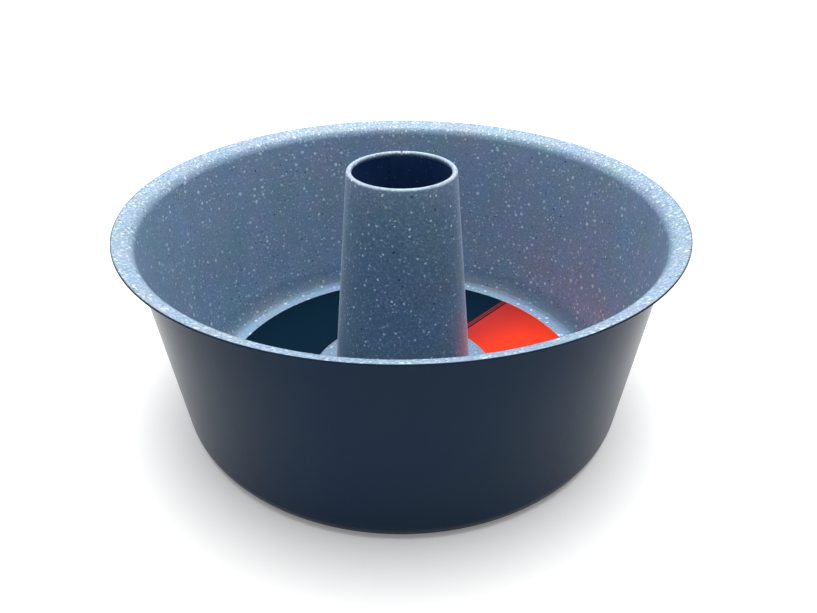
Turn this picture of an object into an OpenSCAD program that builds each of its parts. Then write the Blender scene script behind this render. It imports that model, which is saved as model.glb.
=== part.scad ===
// Angel food cake pan: a deep round pan of sheet steel with a tall open tube in the middle,
// and a loose printed card lying on its floor.
// The origin is on the table under the middle of the pan, and +Z points up.

/* [Pan] */
// Outer diameter across the rim
rim_d = 254; // [220:1:290]
// How far the rim's edge stands out from the slope of the wall
rim_w = 7.2; // [5.5:0.1:12]
// Height of the rim's edge above the table
pan_h = 101.1; // [80:0.1:120]
// Slope of the wall, in degrees from upright
wall_draft = 5.4; // [3:0.1:6]
// Thickness of the sheet
sheet_t = 0.8; // [0.5:0.1:1.2]
// Outside radius of the tight corner round the floor
corner_r = 3; // [2:0.1:5]
// Outside radius of the wider curve between that corner and the wall
base_curve_r = 14; // [8:0.5:20]
// How far that curve turns the wall inwards, in degrees
base_curve = 36; // [20:1:45]
// Radius under the bend between the wall and the rim
bend_r = 4.7; // [3:0.1:7]
// Tilt of the flat rim above level, in degrees
rim_tilt = 22; // [5:1:30]

/* [Centre tube] */
// Outer diameter of the tube where it meets the floor
tube_base_d = 72.8; // [64:0.2:80]
// Outer diameter across the rolled top edge
tube_top_d = 50.8; // [46:0.2:58]
// Height of the rolled edge above the table
tube_h = 116.4; // [100:0.2:130]
// Thickness of the tube's sheet
tube_t = 0.6; // [0.4:0.1:0.8]
// Outside radius of the rolled edge
hem_r = 1.27; // [1.1:0.01:2]
// Width that the sheet laps over itself along the seam
seam_w = 6; // [4:0.5:9]
// Width of the gap where the two ends of the rolled edge meet
notch_w = 1.6; // [0.8:0.1:2.4]
// Depth of that gap
notch_depth = 1; // [0.6:0.1:1.5]
// Width of the foot that the tube stands on
foot_w = 3; // [2:0.1:5]

/* [Joint between tube and floor] */
// Height of the neck that the floor turns up inside the tube
neck_h = 12; // [11:0.5:18]
// Radius under the bend between the floor and the neck
neck_bend_r = 2; // [1.7:0.1:2.4]
// How far the locking bead stands out
bead_h = 0.8; // [0.4:0.1:1.2]
// Width of the locking bead
bead_w = 4; // [3:0.1:5]
// Height of the middle of the locking bead above the table
bead_z = 7.5; // [6.5:0.1:8]
// Clearance between the neck and the tube
neck_gap = 0.05; // [0.02:0.01:0.2]

/* [Card] */
// Thickness of the card
card_t = 0.5; // [0.3:0.1:1]
// Distance from the card's outer edge to the start of the pan's corner
card_margin = 8.2; // [2:0.1:20]
// Clearance between the card's hole and the tube's foot
card_hole_gap = 9.8; // [2:0.1:15]

/* [Hidden] */

speckled_coat = "#7d8a9c";
dark_coat = "#24262e";
card_print = "#0e2430";

$fn = 180;
arc_steps = 10;
bead_steps = 8;
eps = 0.5;

function unit(angle) = [cos(angle), sin(angle)];
function reverse(list) = [for (i = [len(list) - 1:-1:0]) list[i]];
function without_first(list) = [for (i = [1:len(list) - 1]) list[i]];

// Points along an arc about a centre, from one angle to another
function arc(centre, r, from, to) =
    [for (i = [0:arc_steps]) centre + r * unit(from + (to - from) * i / arc_steps)];

// The point whose distances along two directions are known
function meet(dir_a, dist_a, dir_b, dist_b) =
    [dist_a * dir_b[1] - dist_b * dir_a[1], dir_a[0] * dist_b - dir_b[0] * dist_a]
    / (dir_a[0] * dir_b[1] - dir_b[0] * dir_a[1]);

// Corner, base curve, wall and rim of the pan
wall_out = unit(-wall_draft);
rim_down = unit(rim_tilt - 90);
wall_foot = [rim_d / 2 - rim_w - pan_h * tan(wall_draft), 0];
rim_edge = [rim_d / 2, pan_h - sheet_t * cos(rim_tilt)];
curve_to_corner = base_curve_r - corner_r;
corner_c = meet(wall_out, wall_out * wall_foot - base_curve_r + curve_to_corner * cos(base_curve),
                [0, 1], corner_r);
curve_c = corner_c - curve_to_corner * unit(-wall_draft - base_curve);
bend_c = meet(wall_out, wall_out * wall_foot + bend_r, rim_down, rim_down * rim_edge + bend_r);

// Slope of the tube's wall, which runs from the floor up to touch the rolled edge
tube_foot = [tube_base_d / 2, sheet_t];
hem_c = [tube_top_d / 2 - hem_r, tube_h - hem_r];
hem_end = 280;
foot_to_hem = [tube_foot[0] - hem_c[0], hem_c[1] - tube_foot[1]];
tube_slope = acos(hem_r / norm(foot_to_hem)) - atan2(foot_to_hem[1], foot_to_hem[0]);

// Radius of the tube's wall at a height, at a depth below its outer face
function tube_r(z, depth) =
    tube_foot[0] - (z - tube_foot[1]) * tan(tube_slope) - depth / cos(tube_slope);

// Radius of the neck's wall at a height, at a depth below the face that the tube slides over
function neck_r(z, depth) = tube_r(z, tube_t + depth) - neck_gap;

// The locking bead, swaged outwards through the tube and the neck together
bead_zs = [for (i = [0:bead_steps]) bead_z + bead_w * (i / bead_steps - 0.5)];
function bead_out(z) = bead_h / 2 * (1 + cos(360 * (z - bead_z) / bead_w));

// Bends at the foot of the tube and of the neck
foot_ease = 0.4;
foot_bend_r = neck_bend_r - sheet_t + foot_ease;
foot_r = tube_foot[0] + foot_w;
foot_c = meet(unit(tube_slope), unit(tube_slope) * [tube_r(0, tube_t), 0] + foot_bend_r,
              [0, 1], sheet_t + foot_bend_r);
neck_c = meet(unit(tube_slope), unit(tube_slope) * [neck_r(0, sheet_t), 0] + neck_bend_r,
              [0, 1], neck_bend_r);

// Card
card_r = corner_c[0] - card_margin;
card_hole_r = foot_r + card_hole_gap;

// Outline of the pan's sheet at a depth below its outside face, from the neck to the rim
function pan_line(depth) = concat(
    [[neck_r(neck_h, sheet_t - depth), neck_h]],
    [for (z = reverse(bead_zs)) [neck_r(z, sheet_t - depth) + bead_out(z), z]],
    arc(neck_c, neck_bend_r - depth, 180 + tube_slope, 270),
    arc(corner_c, corner_r - depth, -90, -wall_draft - base_curve),
    without_first(arc(curve_c, base_curve_r - depth, -wall_draft - base_curve, -wall_draft)),
    arc(bend_c, bend_r + depth, 180 - wall_draft, 90 + rim_tilt),
    [rim_edge - depth * rim_down]);

// Outline of the tube's sheet at a depth below its outer face, from the foot to the rolled edge
function tube_line(depth) = concat(
    [[foot_r, sheet_t + tube_t - depth]],
    arc(foot_c, foot_bend_r - tube_t + depth, 270, 180 + tube_slope),
    [for (z = bead_zs) [tube_r(z, depth) + bead_out(z), z]],
    arc(hem_c, hem_r - depth, tube_slope, hem_end));

// Ring of sheet between the outline of its one face and the outline of its other face
module turned_sheet(face_a, face_b) {
    rotate_extrude() polygon(concat(face_a, reverse(face_b)));
}

module pan_body() {
    color(speckled_coat) turned_sheet(pan_line(0), pan_line(sheet_t));
}

// Second thickness of sheet behind the wall along the lap seam, at the back of the tube
module seam_lap() {
    lap_bite = 0.1;
    low = neck_h + 1;
    high = hem_c[1] - hem_r - 0.4;
    inner = [tube_r(low, 2 * tube_t), tube_r(high, 2 * tube_t)];
    outer = [tube_r(low, tube_t - lap_bite), tube_r(high, tube_t - lap_bite)];
    intersection() {
        rotate_extrude() polygon([[inner[0], low], [outer[0], low], [outer[1], high], [inner[1], high]]);
        translate([-seam_w, 0, 0]) cube([seam_w, tube_base_d / 2, tube_h]);
    }
}

// Gap in the rolled edge over the seam, open upwards
module hem_notch() {
    top = tube_h + eps;
    half_w = notch_w / 2 * (notch_depth + eps) / notch_depth;
    rotate([90, 0, 0])
        translate([0, 0, -tube_top_d / 2 - eps])
            linear_extrude(tube_top_d / 2)
                polygon([[-half_w, top], [0, tube_h - notch_depth], [half_w, top]]);
}

module centre_tube() {
    difference() {
        union() {
            color(speckled_coat) turned_sheet(tube_line(0), tube_line(tube_t));
            color(dark_coat) seam_lap();
        }
        hem_notch();
    }
}

module card_ring() {
    color(card_print)
        translate([0, 0, sheet_t])
            difference() {
                cylinder(h = card_t, r = card_r);
                translate([0, 0, -eps]) cylinder(h = card_t + 2 * eps, r = card_hole_r);
            }
}

pan_body();
centre_tube();
card_ring();
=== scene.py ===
"""Looks of the angel food cake pan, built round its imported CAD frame. All lengths are in metres."""
import math
from collections import namedtuple

import bpy
import numpy as np
from mathutils import Matrix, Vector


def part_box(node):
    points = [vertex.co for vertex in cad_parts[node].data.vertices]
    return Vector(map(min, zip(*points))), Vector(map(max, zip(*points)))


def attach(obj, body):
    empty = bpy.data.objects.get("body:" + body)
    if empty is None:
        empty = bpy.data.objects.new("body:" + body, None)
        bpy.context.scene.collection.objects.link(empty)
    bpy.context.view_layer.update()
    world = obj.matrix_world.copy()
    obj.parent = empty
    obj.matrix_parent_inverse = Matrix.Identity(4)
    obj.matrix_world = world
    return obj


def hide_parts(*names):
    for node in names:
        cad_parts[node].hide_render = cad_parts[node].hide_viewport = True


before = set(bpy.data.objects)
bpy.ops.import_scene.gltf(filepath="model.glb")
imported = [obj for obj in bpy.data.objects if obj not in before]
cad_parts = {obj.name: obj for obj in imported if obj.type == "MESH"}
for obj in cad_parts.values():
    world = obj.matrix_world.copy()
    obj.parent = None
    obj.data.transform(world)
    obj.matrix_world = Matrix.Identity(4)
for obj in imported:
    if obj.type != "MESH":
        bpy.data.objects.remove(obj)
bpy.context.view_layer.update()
MM = 0.001

# Sizes that the frame gives
RIM_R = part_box("pan_body")[1].x
PAN_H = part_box("pan_body")[1].z
FOOT_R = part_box("centre_tube")[1].x
TUBE_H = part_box("centre_tube")[1].z
FLOOR_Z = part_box("centre_tube")[0].z
CARD_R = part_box("card_ring")[1].x
CARD_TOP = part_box("card_ring")[1].z

# Sizes of the pan's sheet
SHEET = FLOOR_Z
DRAFT = math.radians(5.4)
RIM_W = 7.2 * MM
BASE_R = RIM_R - RIM_W - PAN_H * math.tan(DRAFT)
CORNER_R = 3 * MM
BASE_CURVE_R = 14 * MM
BASE_CURVE = math.radians(36)
BEND_R = 4.7 * MM
RIM_TILT = math.radians(22)

# Sizes of the tube, its rolled edge, its seam and its locking bead. LAP_EDGE is half the angle, in
# radians, in which the sheet steps down at each edge of the seam's flaps.
TUBE_SHEET = 0.6 * MM
TUBE_BASE_R = 36.4 * MM
TUBE_TOP_R = 25.4 * MM
HEM_R = 1.27 * MM
HEM_END = math.radians(280)
HEM_STEPS = 20
NECK_H = 12 * MM
NECK_BEND_R = 2 * MM
NECK_GAP = 0.05 * MM
FOOT_BEND_R = 1.6 * MM
BEAD_H = 0.8 * MM
BEAD_W = 4 * MM
BEAD_Z = 7.5 * MM
LAP_W = 6 * MM
LAP_FADE = 9 * MM
LAP_EASE_LOW = 4 * MM
LAP_EASE_HIGH = 3 * MM
LAP_EDGE = 0.0006
NOTCH_W = 1.0 * MM
NOTCH_DEPTH = 0.8 * MM
WELD_R = 1.9 * MM
WELD_DEPTH = 0.22 * MM
WELD_PITCH = 21 * MM
WELDS = 5
WELD_EASE = 0.7 * MM

# Card
CARD_HOLE_GAP = 9.8 * MM
CARD_HOLE_R = FOOT_R + CARD_HOLE_GAP
CARD_EDGE_R = 0.12 * MM

# The print's orange panel, which is a sector of the ring with soft sides, and the thin lines beside it
FAN_MIDDLE = math.radians(20)
FAN_HALF = math.radians(27)
FAN_SOFT = 0.1 * MM
LINE_OFFS = (1.6 * MM, 3.0 * MM)
LINE_HALF = 0.3 * MM
LINE_CORE = 0.2 * MM

# Faces round the pan and the card, and rows of faces along each straight stretch of sheet
SEGMENTS = 256
FLOOR_ROWS = 24
WALL_ROWS = 24
BRIM_ROWS = 5
TUBE_ROWS = 96
CARD_ROWS = 12
BEND_STEPS = 8

# Rounding of the foot's toe, and how far a cut edge bulges, as a share of a half round
EDGE_ROUND = 0.18 * MM
END_BULGE = 0.55

# Light: the lamp's strength, its width and its tilts in degrees, and the strength of the room's own light
LAMP = 3.1
LAMP_WIDTH = 48
LAMP_BACK = -4
LAMP_RIGHT = 2
AMBIENT = 0.53

# The floor: half its width in metres, its colour for the light that it gives back to the pan, and
# its colour as the camera sees it, with how much its shadows are lifted
FLOOR_HALF = 30.0
FLOOR_COLOUR = (0.9, 0.9, 0.9, 1)
FLOOR_SHOWN = (1.0, 1.0, 1.0, 1)
SHADOW_LIFT = 0.15

# The dark shape of whoever holds the camera, and a bright part of the room behind the pan that only
# the coat's shine shows: how high each stands and how wide it is, in degrees, and its strength.
# The shape is paler in soft light.
BODY_UP = 50
BODY_CORE = 20
BODY_EDGE = 60
BODY_LIGHT = 0.1
BODY_SOFT = 0.35
GLOW_UP = 60
GLOW_CORE = 5
GLOW_EDGE = 35
GLOW = 2.0

# Camera that the outlines in the photograph fit, with its focal length and picture width in pixels
CAMERA_BACK = 289.6 * MM
CAMERA_UP = 223.1 * MM
CAMERA_PITCH = math.radians(31.87)
CAMERA_YAW = math.radians(0.595)
FOCAL_PX = 668.8
WIDTH_PX = 817
SENSOR_MM = 36

# Flecks of the coat, which are spots in the cells of a random grid: the cell's size, the smallest and
# the largest radius, the power that makes large ones rarer, the grid's shift, which keeps the kinds
# from sharing their places, and the range of their random strength
Fleck = namedtuple("Fleck", "cell smallest largest rarer shift strength")
MIST = Fleck(1.9 * MM, 0.34 * MM, 0.64 * MM, 1.0, 3.1, (-0.4, 1.6))
SPRAY = Fleck(2.1 * MM, 0.36 * MM, 0.68 * MM, 1.0, 21.7, (-0.3, 1.3))
DOTS = Fleck(3.7 * MM, 0.53 * MM, 1.06 * MM, 1.8, 7.7, (-0.5, 0.6))
TUBE_DOTS = Fleck(3.0 * MM, 0.35 * MM, 0.72 * MM, 1.8, 7.7, (-0.5, 0.6))
BLACK = Fleck(2.6 * MM, 0.3 * MM, 0.6 * MM, 1.5, 13.3, (-0.5, 1.2))
BORE_MIST = Fleck(2.2 * MM, 0.3 * MM, 0.7 * MM, 1.5, 17.9, None)

# Share of the cells that hold a fleck, for the kinds whose share is the same on every piece
SPRAY_SHARE = 0.8
BLACK_SHARE = 0.6
BORE_SHARE = 0.5

# How strong the strongest fleck in the bore is
BORE_MIST_TOP = 0.4

# How soft a fleck's outline is, inside and outside its radius
FLECK_INSIDE = 0.1 * MM
FLECK_OUTSIDE = 0.06 * MM

# Sizes of the coat's grain, its dust, the places where flecks gather, the bends that take the flecks
# out of round, and the peel of its surface
GRAIN = 1.3 * MM
DUST = 1.0 * MM
CROWD = 14 * MM
BEND = 0.9 * MM
PEEL = 1.6 * MM

# Levels of the noise between which grain, dust and crowded places begin
GRAIN_EDGE = (0.25, 0.5)
DUST_EDGE = (0.45, 0.72)
CROWD_EDGE = (0.35, 0.65)

# How dark the grain is where it is darkest, how strong the mist is where flecks don't gather, and how much
# level faces high up or the crowded places change each of them and the dust
GRAIN_DARK = 0.9
HIGH_LEVEL_GRAIN = -0.3
HIGH_LEVEL_DUST = 0.3
MIST_THIN = 0.7
CROWDED_MIST = 0.4

# How far the coat's colour wanders in red, green and blue, and over what distance
TINT = (0.7, 0.28, 0.5)
TINT_SIZE = 20 * MM

# Painted light and shade on the coat in some places, where 1 is as pale as on the wall: painted shade on
# the floor round the tube and at the tube's foot, painted light on the outer band of the floor, and painted
# shade in the corner round the floor. The coat is also darker at the rim's edge.
PAINTED_SHADE_NEAR_TUBE = 0.82
PAINTED_LIGHT_FLOOR_BAND = 1.2
PAINTED_CORNER_SHADE = 0.6
RIM_EDGE_DARKER = 0.45

# Where those places begin and end: radii on the floor, radii of the corner, heights up the wall, and
# distances in from the rim's edge
PAINTED_FLOOR_R = (60 * MM, 90 * MM)
PAINTED_CORNER_R = (101.5 * MM, 107.5 * MM)
PAINTED_FLOOR_Z = (3 * MM, 16 * MM)
RIM_EDGE_DARKER_IN = (1.0 * MM, 0.3 * MM)

# How far up a face looks, from a steep one to a level one, and the heights between which the flecks of
# level faces thicken to those of the rim
LOOKS_UP = (0.1, 0.95)
HIGH_LEVEL_Z = (50 * MM, 90 * MM)

# Linear colours. A pair is two colours that a surface wanders between.
PAN_STEEP = (0.25, 0.395, 0.58, 1)
PAN_LEVEL = (0.245, 0.37, 0.53, 1)
# The tube's steep colour is painted shade, darker than the pan's, and its level colour is a painted
# highlight on the hem's top
TUBE_STEEP_SHADE = (0.113, 0.203, 0.313, 1)
TUBE_LEVEL_HIGHLIGHT = (0.42, 0.55, 0.7, 1)
WHITE_FLECK = (0.75, 0.91, 1.0, 1)
BLACK_FLECK = (0.02, 0.035, 0.06, 1)
SHEEN_TINT = (0.7, 0.85, 1.0, 1)
OUTSIDE = ((0.002, 0.018, 0.05, 1), (0.004, 0.02, 0.045, 1))
BORE = ((0.02, 0.08, 0.26, 1), (0.035, 0.11, 0.31, 1))
BORE_FLECK = (0.3, 0.45, 0.6, 1)
PRINT_DARK = ((0.002, 0.014, 0.028, 1), (0.003, 0.018, 0.036, 1))
# The orange and, as painted shade, a darker orange for one side of the panel
PRINT_ORANGE_AND_SHADE = ((0.5, 0.035, 0.03, 1), (0.98, 0.055, 0.02, 1))
PRINT_LINE = (0.45, 0.04, 0.03, 1)

# Pairs of 8-bit colours
RAW_STEEL = ((44, 48, 56), (70, 74, 82))
BOARD = ((226, 222, 214), (244, 242, 238))


def unit(angle):
    """Direction at an angle above outwards, in the plane of radius and height."""
    return np.array([math.cos(angle), math.sin(angle)])


def arc(centre, r, start, end, steps=14):
    """Points in the plane of radius and height, along an arc about a centre."""
    return [centre + r * unit(start + (end - start) * i / steps) for i in range(steps + 1)]


def meet(dir_a, dist_a, dir_b, dist_b):
    """The point whose distances along two directions are known."""
    det = dir_a[0] * dir_b[1] - dir_b[0] * dir_a[1]
    return np.array([dist_a * dir_b[1] - dist_b * dir_a[1], dir_a[0] * dist_b - dir_b[0] * dist_a]) / det


def span(start, end, steps):
    """Points on the straight line between two points, without the ends."""
    a, b = np.array(start), np.array(end)
    return [a + (b - a) * i / steps for i in range(1, steps)]


def smooth(t):
    """Goes from 0 to 1 as t does, slowly at both ends."""
    t = np.clip(t, 0, 1)
    return t * t * (3 - 2 * t)


# Slope of the tube's wall
hem_c = np.array([TUBE_TOP_R - HEM_R, TUBE_H - HEM_R])
rise = hem_c[1] - FLOOR_Z
run = TUBE_BASE_R - hem_c[0]
SLOPE = math.acos(HEM_R / math.hypot(run, rise)) - math.atan2(rise, run)


def tube_r(z, depth):
    """Radius of the tube's wall at a height, at a depth below its outer face."""
    return TUBE_BASE_R - (z - FLOOR_Z) * math.tan(SLOPE) - depth / math.cos(SLOPE)


def neck_r(z, depth):
    """Radius of the floor's neck inside the tube, at a height, at a depth below its outer face."""
    return tube_r(z, TUBE_SHEET + depth) - NECK_GAP


def bead_out(z):
    """How far the locking bead swells the wall at a height."""
    if abs(z - BEAD_Z) > BEAD_W / 2:
        return 0.0
    return BEAD_H / 2 * (1 + math.cos(2 * math.pi * (z - BEAD_Z) / BEAD_W))


def bead_heights(steps=16):
    return [BEAD_Z + BEAD_W * (i / steps - 0.5) for i in range(steps + 1)]


def round_end(tip_a, tip_b, along, steps=4):
    """Half round that joins the two faces of a sheet at its cut edge, going from face a to face b."""
    a, b = np.array(tip_a), np.array(tip_b)
    mid, half = (a + b) / 2, (a - b) / 2
    out = np.array(along) * np.linalg.norm(half) * END_BULGE
    angles = [math.pi * i / steps for i in range(1, steps)]
    return [mid + half * math.cos(t) + out * math.sin(t) for t in angles]


# Meshes

def mesh_object(name, verts, faces, face_materials, materials, sharp=40):
    mesh = bpy.data.meshes.new(name)
    mesh.from_pydata([tuple(v) for v in verts], [], faces)
    for m in materials:
        mesh.materials.append(m)
    mesh.polygons.foreach_set("material_index", face_materials)
    mesh.polygons.foreach_set("use_smooth", [True] * len(faces))
    mesh.update()
    mesh.set_sharp_from_angle(angle=math.radians(sharp))
    obj = bpy.data.objects.new(name, mesh)
    bpy.context.scene.collection.objects.link(obj)
    return obj


def sweep(name, loop_at, angles, row_materials, materials):
    """Closed skin through one closed loop of (radius, height) points for each angle round the axis."""
    count = len(row_materials)
    verts = []
    for a in angles:
        for r, z in loop_at(a):
            verts.append((r * math.cos(a), r * math.sin(a), z))
    faces, mats = [], []
    turns = len(angles)
    for i in range(turns):
        j = (i + 1) % turns
        for k in range(count):
            m = (k + 1) % count
            faces.append((i * count + k, j * count + k, j * count + m, i * count + m))
            mats.append(row_materials[k])
    return mesh_object(name, verts, faces, mats, materials)


def even_angles(n):
    return [2 * math.pi * i / n for i in range(n)]


def build_pan(materials):
    """One pressing: neck, floor, corner, wall and rim, dark outside and speckled inside."""
    wall_out = unit(-DRAFT)
    rim_down = unit(RIM_TILT - math.pi / 2)
    wall_foot = np.array([BASE_R, 0])
    rim_edge = np.array([RIM_R, PAN_H - SHEET * math.cos(RIM_TILT)])
    up = np.array([0, 1])
    to_corner = BASE_CURVE_R - CORNER_R
    from_wall = BASE_CURVE_R - to_corner * math.cos(BASE_CURVE)
    corner_c = meet(wall_out, wall_out @ wall_foot - from_wall, up, CORNER_R)
    curve_c = corner_c - to_corner * unit(-DRAFT - BASE_CURVE)
    bend_c = meet(wall_out, wall_out @ wall_foot + BEND_R, rim_down, rim_down @ rim_edge + BEND_R)
    lean = unit(SLOPE)
    inner_neck = np.array([neck_r(0, SHEET), 0])
    neck_c = meet(lean, lean @ inner_neck + NECK_BEND_R, up, NECK_BEND_R)

    def face(depth):
        neck_top = [neck_r(NECK_H, SHEET - depth), NECK_H]
        neck = [[neck_r(z, SHEET - depth) + bead_out(z), z] for z in reversed(bead_heights())]
        bend = arc(neck_c, NECK_BEND_R - depth, math.pi + SLOPE, 1.5 * math.pi, BEND_STEPS)
        corner = arc(corner_c, CORNER_R - depth, -math.pi / 2, -DRAFT - BASE_CURVE)
        corner += arc(curve_c, BASE_CURVE_R - depth, -DRAFT - BASE_CURVE, -DRAFT)[1:]
        lip = arc(bend_c, BEND_R + depth, math.pi - DRAFT, math.pi / 2 + RIM_TILT)
        edge = rim_edge - depth * rim_down
        flat = span(bend[-1], corner[0], FLOOR_ROWS)
        wall = span(corner[-1], lip[0], WALL_ROWS)
        brim = span(lip[-1], edge, BRIM_ROWS)
        return [neck_top] + neck + bend + flat + corner + wall + lip + brim + [edge]

    outside, inside = face(0), face(SHEET)
    along_rim = unit(RIM_TILT)
    rim_cut = round_end(outside[-1], inside[-1], along_rim)
    neck_cut = round_end(inside[0], outside[0], [0, 1])
    shift = np.array([max(p[0] for p in rim_cut) - RIM_R, 0])
    rim_cut = [p - shift for p in rim_cut]
    outside[-1] = outside[-1] - shift
    inside[-1] = inside[-1] - shift
    loop = outside + rim_cut + inside[::-1] + neck_cut
    rows = [0] * (len(outside) + len(rim_cut)) + [1] * len(inside) + [2] * len(neck_cut)
    return sweep("pan_shell", lambda a: loop, even_angles(SEGMENTS), rows, materials)


def tube_angles():
    """Angles round the tube, close together at the seam, which is at the back, and closest at its notch."""
    back = math.pi / 2
    lap_end = back + LAP_W / tube_r(NECK_H * 5, 0)
    notch = np.arange(-2.4, 2.4, 0.3)
    seam = np.arange(-24, 40, 0.75)
    rest = np.arange(42, 335, 2.0)
    angles = [back + math.radians(t) for t in np.concatenate([notch, seam, rest])]
    angles += [edge + side for edge in (back, lap_end) for side in (-LAP_EDGE, LAP_EDGE)]
    return sorted(set(round(a, 5) for a in angles))


def build_tube(materials):
    """Rolled sheet with a lap seam, a curled top edge, a flared foot and a locking bead."""
    up = np.array([0, 1])
    lean = unit(SLOPE)
    inner_foot = np.array([tube_r(0, TUBE_SHEET), 0])
    foot_c = meet(lean, lean @ inner_foot + FOOT_BEND_R, up, FLOOR_Z + FOOT_BEND_R)
    back = math.pi / 2
    wall_low = NECK_H + 1 * MM
    wall_high = hem_c[1] - HEM_R * math.sin(SLOPE)
    heights = [wall_low + (wall_high - wall_low) * i / TUBE_ROWS for i in range(TUBE_ROWS)]
    welds = [wall_low + WELD_PITCH * (i + 0.5) for i in range(WELDS)]

    def lap_steps(arc_from_edge):
        """How far the seam moves the outer and the inner face inwards, by the distance round the tube
        from the outer flap's edge."""
        if arc_from_edge < 0:
            sunk = TUBE_SHEET * (1 - smooth(-arc_from_edge / LAP_FADE))
            return sunk, sunk
        if arc_from_edge < LAP_W:
            return 0.0, TUBE_SHEET
        return 0.0, 0.0

    def face(a, outer):
        depth = 0 if outer else TUBE_SHEET
        foot = arc(foot_c, FOOT_BEND_R - TUBE_SHEET + depth, 1.5 * math.pi, math.pi + SLOPE, BEND_STEPS)
        points = [np.array([FOOT_R - EDGE_ROUND, FLOOR_Z + TUBE_SHEET - depth])] + foot
        points += [np.array([tube_r(z, depth) + bead_out(z), z]) for z in bead_heights()]
        for z in heights:
            r = tube_r(z, depth)
            round_from_edge = (a - back) * r
            sunk = lap_steps(round_from_edge)[0 if outer else 1]
            fade = smooth((z - wall_low) / LAP_EASE_LOW) * smooth((wall_high - z) / LAP_EASE_HIGH)
            from_weld = min(math.hypot(round_from_edge - LAP_W / 2, z - w) for w in welds)
            weld = WELD_DEPTH * smooth((WELD_R - from_weld) / WELD_EASE)
            points.append(np.array([r - sunk * fade - (weld if outer else 0), z]))
        gap = 1 - abs(a - back) * TUBE_TOP_R / (NOTCH_W / 2)
        drop = NOTCH_DEPTH * smooth(gap) if gap > 0 else 0
        for p in arc(hem_c, HEM_R - depth, SLOPE, HEM_END, HEM_STEPS):
            share = smooth((p[1] - hem_c[1] + HEM_R) / (2 * HEM_R))
            points.append(p - np.array([0, drop * share]))
        return points

    sample_out, sample_in = face(0, True), face(0, False)
    foot_cut = len(round_end(sample_in[0], sample_out[0], [1, 0]))
    hem_cut = len(round_end(sample_out[-1], sample_in[-1], unit(HEM_END + math.pi / 2)))

    def loop(a):
        outer, inner = face(a, True), face(a, False)
        curl = round_end(outer[-1], inner[-1], unit(HEM_END + math.pi / 2))
        toe = round_end(inner[0], outer[0], [1, 0])
        return outer + curl + inner[::-1] + toe

    coated = len(sample_out) + hem_cut + HEM_STEPS
    rows = [0] * coated + [1] * (len(sample_in) - HEM_STEPS) + [0] * foot_cut
    return sweep("tube_shell", loop, tube_angles(), rows, materials)


def build_card(materials):
    """Flat ring of printed card, white at its cut edges and underneath."""
    low, high = FLOOR_Z, CARD_TOP
    e, hole = CARD_EDGE_R, CARD_HOLE_R
    outer = [[CARD_R - e, low], [CARD_R, low + e], [CARD_R, high - e], [CARD_R - e, high]]
    inner = [[hole + e, high], [hole, high - e], [hole, low + e], [hole + e, low]]
    top = span(outer[-1], inner[0], CARD_ROWS)
    under = span(inner[-1], outer[0], CARD_ROWS)
    loop = outer + top + inner + under
    rows = [1] * 3 + [0] * (len(top) + 1) + [1] * 4 + [1] * len(under)
    return sweep("card_sheet", lambda a: loop, even_angles(SEGMENTS), rows, materials)


# Materials

class Shader:
    """A new material and a short way to add nodes to it."""

    def __init__(self, name):
        self.material = bpy.data.materials.new(name)
        self.material.use_nodes = True
        self.tree = self.material.node_tree
        self.bsdf = self.tree.nodes["Principled BSDF"]

    def put(self, socket, value):
        if isinstance(value, bpy.types.NodeSocket):
            self.tree.links.new(value, socket)
        else:
            socket.default_value = value

    def node(self, kind, inputs=None, **settings):
        n = self.tree.nodes.new(kind)
        for key, value in settings.items():
            setattr(n, key, value)
        for key, value in (inputs or {}).items():
            self.put(n.inputs[key], value)
        return n

    def math(self, operation, a, b=0.0, c=0.0, clamp=False):
        n = self.node("ShaderNodeMath", {0: a, 1: b, 2: c}, operation=operation, use_clamp=clamp)
        return n.outputs[0]

    def mix(self, factor, a, b):
        n = self.node("ShaderNodeMix", data_type="RGBA")
        self.put(n.inputs["Factor"], factor)
        self.put(n.inputs["A"], a)
        self.put(n.inputs["B"], b)
        return n.outputs["Result"]

    def noise(self, coords, size, detail=2.0, roughness=0.5):
        inputs = {"Vector": coords, "Scale": 1 / size, "Detail": detail, "Roughness": roughness}
        return self.node("ShaderNodeTexNoise", inputs)

    def step(self, value, low, high, before=0.0, after=1.0):
        """One value below low, the other above high, and smooth between."""
        inputs = {"Value": value, "From Min": low, "From Max": high, "To Min": before, "To Max": after}
        return self.node("ShaderNodeMapRange", inputs, interpolation_type="SMOOTHSTEP").outputs[0]

    def ramp(self, value, low, high):
        """Goes straight from low to high as the value goes from 0 to 1."""
        return self.node("ShaderNodeMapRange", {"Value": value, "To Min": low, "To Max": high}).outputs[0]

    def vector(self, operation, a, b, c=(0, 0, 0)):
        return self.node("ShaderNodeVectorMath", {0: a, 1: b, 2: c}, operation=operation).outputs[0]

    def length(self, vector):
        return self.node("ShaderNodeVectorMath", {0: vector}, operation="LENGTH").outputs["Value"]

    def split(self, vector):
        return self.node("ShaderNodeSeparateXYZ", {0: vector}).outputs

    def scale(self, colour, factor):
        return self.node("ShaderNodeVectorMath", {0: colour, "Scale": factor}, operation="SCALE").outputs[0]

    def coords(self):
        return self.node("ShaderNodeTexCoord").outputs["Object"]

    def wander(self, noise, pair):
        """Colour that goes to and fro between the two of a pair."""
        return self.mix(self.step(noise, 0.3, 0.7), *pair)

    def bump(self, height, strength, distance):
        n = self.node("ShaderNodeBump", {"Height": height, "Strength": strength, "Distance": distance})
        self.tree.links.new(n.outputs[0], self.bsdf.inputs["Normal"])

    def surface(self, **values):
        for key, value in values.items():
            self.put(self.bsdf.inputs[key.replace("_", " ")], value)
        return self.material


def srgb(r, g, b):
    """Linear colour from an 8-bit one."""
    def line(c):
        c /= 255
        return c / 12.92 if c <= 0.04045 else ((c + 0.055) / 1.055) ** 2.4
    return (line(r), line(g), line(b), 1.0)


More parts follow.
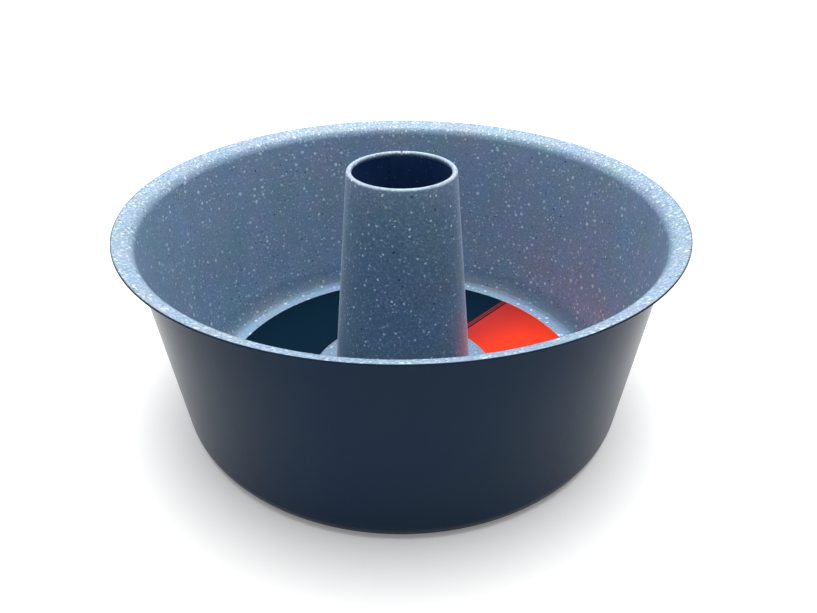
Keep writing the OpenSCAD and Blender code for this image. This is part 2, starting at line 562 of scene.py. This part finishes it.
def spots(s, coords, kind, share):
    """Mask of round spots of a kind, in a share of their grid's cells, and a random tone for each spot."""
    shift = s.vector("ADD", coords, (kind.shift, kind.shift * 2, kind.shift * 3))
    cells = s.node("ShaderNodeTexVoronoi", {"Vector": shift, "Scale": 1 / kind.cell})
    random = s.node("ShaderNodeSeparateColor", {0: cells.outputs["Color"]})
    distance = s.math("MULTIPLY", cells.outputs["Distance"], kind.cell)
    size = s.math("POWER", random.outputs[0], kind.rarer)
    radius = s.math("MULTIPLY_ADD", size, kind.largest - kind.smallest, kind.smallest)
    inside = s.math("SUBTRACT", radius, distance)
    mask = s.step(inside, -FLECK_OUTSIDE, FLECK_INSIDE)
    chosen = s.math("LESS_THAN", random.outputs[1], share)
    return s.math("MULTIPLY", mask, chosen), random.outputs[2]


def flecks(s, coords, kind, share):
    """Mask of spots that are stronger or fainter at random."""
    mask, tone = spots(s, coords, kind, share)
    return s.math("MULTIPLY", mask, s.step(tone, *kind.strength))


def painted_floor_light_and_rim_edge(s, at):
    """Painted light and shade on the coat: painted shade on the floor round the tube and at the tube's
    foot, painted light on the floor's outer band, painted shade in the corner round the floor, and darker
    at the rim's edge.
    """
    radius = s.length(s.vector("MULTIPLY", at, (1, 1, 0)))
    floor = s.step(radius, *PAINTED_FLOOR_R, PAINTED_SHADE_NEAR_TUBE, PAINTED_LIGHT_FLOOR_BAND)
    floor = s.step(radius, *PAINTED_CORNER_R, floor, PAINTED_CORNER_SHADE)
    low = s.step(s.split(at)["Z"], *PAINTED_FLOOR_Z, floor, 1.0)
    # Darker towards the rim's edge
    edge = s.step(radius, RIM_R - RIM_EDGE_DARKER_IN[0], RIM_R - RIM_EDGE_DARKER_IN[1], 1.0, RIM_EDGE_DARKER)
    return s.math("MULTIPLY", low, edge)


def speckled_coat(name, steep, level, dots, share, dusty, sheen):
    """Blue-grey non-stick coat, with more white flecks and dust, and darker grain, on level faces high up.

    Its colours on steep and on level faces, the size of its dots, the share of cells with mist and dots,
    how dusty it is, and its sheen differ between the pieces. On the tube the steep colour is painted shade,
    darker than the pan's coat, and the level colour is a painted highlight on the hem's top."""
    s = Shader(name)
    at = s.coords()
    normal = s.node("ShaderNodeNewGeometry").outputs["Normal"]
    looks_up = s.step(s.split(normal)["Z"], *LOOKS_UP)
    high_level_faces = s.math("MULTIPLY", looks_up, s.step(s.split(at)["Z"], *HIGH_LEVEL_Z))
    crowd = s.step(s.noise(at, CROWD).outputs[0], *CROWD_EDGE)
    crowd = s.math("ADD", crowd, high_level_faces, clamp=True)

    # The ground, with slow changes of tint, grain and dust
    tint = s.vector("SUBTRACT", s.noise(at, TINT_SIZE).outputs["Color"], (0.5, 0.5, 0.5))
    tint = s.vector("MULTIPLY_ADD", tint, TINT, (1, 1, 1))
    # Steep and level colours by how far a face looks up; on the tube these are painted shade on its sides
    # and a painted highlight on the hem's top
    colour = s.vector("MULTIPLY", s.mix(looks_up, steep, level), tint)
    darkest = s.math("MULTIPLY_ADD", high_level_faces, HIGH_LEVEL_GRAIN, GRAIN_DARK)
    grain = s.noise(at, GRAIN, detail=2.0, roughness=0.6).outputs[0]
    colour = s.scale(colour, s.step(grain, *GRAIN_EDGE, darkest, 1.0))
    dust = s.noise(at, DUST, detail=2.0, roughness=0.6).outputs[0]
    palest = s.math("MULTIPLY_ADD", high_level_faces, HIGH_LEVEL_DUST, dusty)
    colour = s.mix(s.math("MULTIPLY", s.step(dust, *DUST_EDGE), palest), colour, WHITE_FLECK)

    # The flecks, each kind over the one before, bent a little out of round
    wobble = s.noise(at, BEND, detail=1.0).outputs["Color"]
    wobble = s.vector("SUBTRACT", wobble, (0.5, 0.5, 0.5))
    bent = s.vector("MULTIPLY_ADD", wobble, (BEND,) * 3, at)
    mist = s.math("MULTIPLY_ADD", crowd, CROWDED_MIST, MIST_THIN)
    mist = s.math("MULTIPLY", mist, flecks(s, bent, MIST, share))
    spray = s.math("MULTIPLY", high_level_faces, flecks(s, bent, SPRAY, SPRAY_SHARE))
    large = flecks(s, bent, dots, share)
    for mask in (mist, spray, large):
        colour = s.mix(mask, colour, WHITE_FLECK)
    colour = s.mix(flecks(s, bent, BLACK, BLACK_SHARE), colour, BLACK_FLECK)

    # Painted shade near the tube and in the corner, painted light on the floor's outer band, and a darker
    # rim edge
    colour = s.scale(colour, painted_floor_light_and_rim_edge(s, at))
    peel = s.noise(at, PEEL, detail=3.0, roughness=0.55).outputs[0]
    s.bump(peel, strength=0.12, distance=0.12 * MM)
    return s.surface(Base_Color=colour, Roughness=s.ramp(peel, 0.36, 0.46), IOR=1.5,
                     Sheen_Weight=sheen, Sheen_Roughness=0.35, Sheen_Tint=SHEEN_TINT)


def dark_coat():
    """Near-black satin coat on the outside of the pan, with cloudy smears in its shine."""
    s = Shader("dark_coat")
    at = s.coords()
    colour = s.wander(s.noise(at, 60 * MM, detail=3.0).outputs[0], OUTSIDE)
    peel = s.noise(at, 1.3 * MM, detail=4.0, roughness=0.6).outputs[0]
    s.bump(peel, strength=0.05, distance=0.1 * MM)
    smears = s.noise(at, 35 * MM, detail=5.0, roughness=0.6).outputs[0]
    return s.surface(Base_Color=colour, Roughness=s.ramp(smears, 0.18, 0.26), IOR=1.2)


def bore_coat():
    """Thinner dark blue coat inside the tube."""
    s = Shader("bore_coat")
    at = s.coords()
    colour = s.wander(s.noise(at, 12 * MM, detail=4.0).outputs[0], BORE)
    mist, tone = spots(s, at, BORE_MIST, BORE_SHARE)
    mist = s.math("MULTIPLY", mist, s.math("MULTIPLY", tone, BORE_MIST_TOP))
    colour = s.mix(mist, colour, BORE_FLECK)
    s.bump(s.noise(at, 1.1 * MM, detail=3.0).outputs[0], strength=0.06, distance=0.1 * MM)
    return s.surface(Base_Color=colour, Roughness=0.42, IOR=1.4, Sheen_Weight=0.2, Sheen_Roughness=0.4)


def cut_edge():
    """Thinly coated raw edge of the sheet."""
    s = Shader("cut_edge")
    grain = s.noise(s.coords(), 0.7 * MM, detail=3.0).outputs[0]
    colour = s.mix(grain, srgb(*RAW_STEEL[0]), srgb(*RAW_STEEL[1]))
    return s.surface(Base_Color=colour, Metallic=0.6, Roughness=0.45)


def card_print():
    """Smooth print in dark teal with one orange-red fan-shaped panel, darker towards one side as painted
    shade, and fine lines beside it.
    """
    s = Shader("card_print")
    at = s.coords()
    axes = s.split(at)
    turn = s.math("ARCTAN2", axes[1], axes[0])
    off_middle = s.math("ABSOLUTE", s.math("SUBTRACT", turn, FAN_MIDDLE))
    beyond = s.math("MULTIPLY", s.math("SUBTRACT", off_middle, FAN_HALF), s.length(at))
    panel = s.step(beyond, FAN_SOFT, -FAN_SOFT)
    # Painted shade: the orange panel darkens towards its side at the larger angle
    glow = s.step(turn, FAN_MIDDLE + FAN_HALF, FAN_MIDDLE - 0.1 * FAN_HALF)
    fibre = s.noise(at, 0.8 * MM, detail=3.0).outputs[0]
    dark = s.mix(fibre, *PRINT_DARK)
    for line_off in LINE_OFFS:
        near_line = s.math("ABSOLUTE", s.math("SUBTRACT", beyond, line_off))
        dark = s.mix(s.step(near_line, LINE_HALF, LINE_CORE), dark, PRINT_LINE)
    colour = s.mix(panel, dark, s.mix(glow, *PRINT_ORANGE_AND_SHADE))
    s.bump(fibre, strength=0.05, distance=0.05 * MM)
    return s.surface(Base_Color=colour, Roughness=0.4, IOR=1.35, Specular_IOR_Level=0.05)


def bare_card():
    """White board at the card's cut edges and underside."""
    s = Shader("bare_card")
    fibre = s.noise(s.coords(), 0.6 * MM, detail=4.0, roughness=0.7).outputs[0]
    colour = s.mix(fibre, srgb(*BOARD[0]), srgb(*BOARD[1]))
    s.bump(fibre, strength=0.2, distance=0.05 * MM)
    return s.surface(Base_Color=colour, Roughness=0.85)


# Stage

def make_camera():
    """The photograph's camera, which looks down into the pan from the front."""
    ahead, aside, level = math.cos(CAMERA_YAW), math.sin(CAMERA_YAW), math.cos(CAMERA_PITCH)
    forward = np.array([aside * level, ahead * level, -math.sin(CAMERA_PITCH)])
    right = np.array([ahead, -aside, 0])
    up = np.cross(right, forward)
    data = bpy.data.cameras.new("camera")
    data.sensor_width = SENSOR_MM
    data.lens = SENSOR_MM * FOCAL_PX / WIDTH_PX
    data.clip_start = 0.01
    camera = bpy.data.objects.new("camera", data)
    turn = Matrix((right, up, -forward)).transposed().to_4x4()
    camera.matrix_world = Matrix.Translation((0, -CAMERA_BACK, CAMERA_UP)) @ turn
    bpy.context.scene.collection.objects.link(camera)
    bpy.context.scene.camera = camera


def make_light():
    """A wide soft lamp overhead in a white room, which whoever holds the camera partly blocks.

    The camera sees the room as plain white, and the coat's shine sees it with its bright part."""
    bpy.context.scene.view_settings.view_transform = "Standard"
    lamp = bpy.data.lights.new("overhead", "SUN")
    lamp.energy = LAMP
    lamp.angle = math.radians(LAMP_WIDTH)
    sun = bpy.data.objects.new("overhead", lamp)
    sun.rotation_euler = (math.radians(LAMP_BACK), math.radians(LAMP_RIGHT), 0)
    bpy.context.scene.collection.objects.link(sun)
    world = bpy.data.worlds.new("room")
    bpy.context.scene.world = world
    world.use_nodes = True
    tree = world.node_tree

    def node(kind, inputs, output=0, **settings):
        n = tree.nodes.new(kind)
        for key, value in settings.items():
            setattr(n, key, value)
        for key, value in inputs.items():
            if isinstance(value, bpy.types.NodeSocket):
                tree.links.new(value, n.inputs[key])
            else:
                n.inputs[key].default_value = value
        return n.outputs[output]

    path = tree.nodes.new("ShaderNodeLightPath").outputs
    way = tree.nodes.new("ShaderNodeTexCoord").outputs["Generated"]

    def patch(forward, up, core, edge, outside, inside):
        """Strength that changes from outside to inside within an angle of one direction."""
        up, core, edge = (math.radians(angle) for angle in (up, core, edge))
        aim = (0, forward * math.cos(up), math.sin(up))
        near = node("ShaderNodeVectorMath", {0: way, 1: aim}, "Value", operation="DOT_PRODUCT")
        reach = {"Value": near, "From Min": math.cos(edge), "From Max": math.cos(core),
                 "To Min": outside, "To Max": inside}
        return node("ShaderNodeMapRange", reach, interpolation_type="SMOOTHSTEP")

    def switch(ray, other, value):
        """One value for rays of a kind, and the other value for all the rest."""
        return node("ShaderNodeMapRange", {"Value": path[ray], "To Min": other, "To Max": value})

    body = patch(-1, BODY_UP, BODY_CORE, BODY_EDGE, 1.0, BODY_LIGHT)
    soft_body = patch(-1, BODY_UP, BODY_CORE, BODY_EDGE, 1.0, BODY_SOFT)
    glow = patch(1, GLOW_UP, GLOW_CORE, GLOW_EDGE, 0.0, GLOW)
    mirrored = node("ShaderNodeMath", {0: body, 1: glow}, operation="ADD")
    soft = node("ShaderNodeMath", {0: soft_body, 1: AMBIENT}, operation="MULTIPLY")
    strength = switch("Is Camera Ray", switch("Is Glossy Ray", soft, mirrored), 1.0)
    tree.links.new(strength, tree.nodes["Background"].inputs["Strength"])
    tree.nodes["Background"].inputs["Color"].default_value = (1, 1, 1, 1)


def make_floor():
    """Plain white floor that keeps the pan's shadow."""
    w = FLOOR_HALF
    mesh = bpy.data.meshes.new("floor")
    mesh.from_pydata([(-w, -w, 0), (w, -w, 0), (w, w, 0), (-w, w, 0)], [], [(0, 1, 2, 3)])
    floor = bpy.data.objects.new("floor", mesh)
    bpy.context.scene.collection.objects.link(floor)
    s = Shader("floor")
    path = s.node("ShaderNodeLightPath").outputs
    shade = s.mix(path["Is Camera Ray"], FLOOR_COLOUR, FLOOR_SHOWN)
    white = s.node("ShaderNodeBsdfDiffuse", {"Color": shade}).outputs[0]
    lift = s.math("MULTIPLY", path["Is Camera Ray"], SHADOW_LIFT)
    glow = s.node("ShaderNodeEmission", {"Strength": lift}).outputs[0]
    shown = s.node("ShaderNodeAddShader", {0: white, 1: glow}).outputs[0]
    s.tree.links.new(shown, s.tree.nodes["Material Output"].inputs["Surface"])
    mesh.materials.append(s.material)


make_camera()
make_light()
make_floor()

pan_coat = speckled_coat("speckled_coat", PAN_STEEP, PAN_LEVEL, DOTS, share=0.85, dusty=0.26, sheen=0.0)
tube_coat = speckled_coat("tube_coat", TUBE_STEEP_SHADE, TUBE_LEVEL_HIGHLIGHT, TUBE_DOTS, share=0.4, dusty=0.21, sheen=0.4)

pan = build_pan([dark_coat(), pan_coat, cut_edge()])
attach(pan, "pan")
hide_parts("pan_body")

tube = build_tube([tube_coat, bore_coat()])
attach(tube, "pan")
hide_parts("centre_tube")

card = build_card([card_print(), bare_card()])
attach(card, "card")
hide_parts("card_ring")
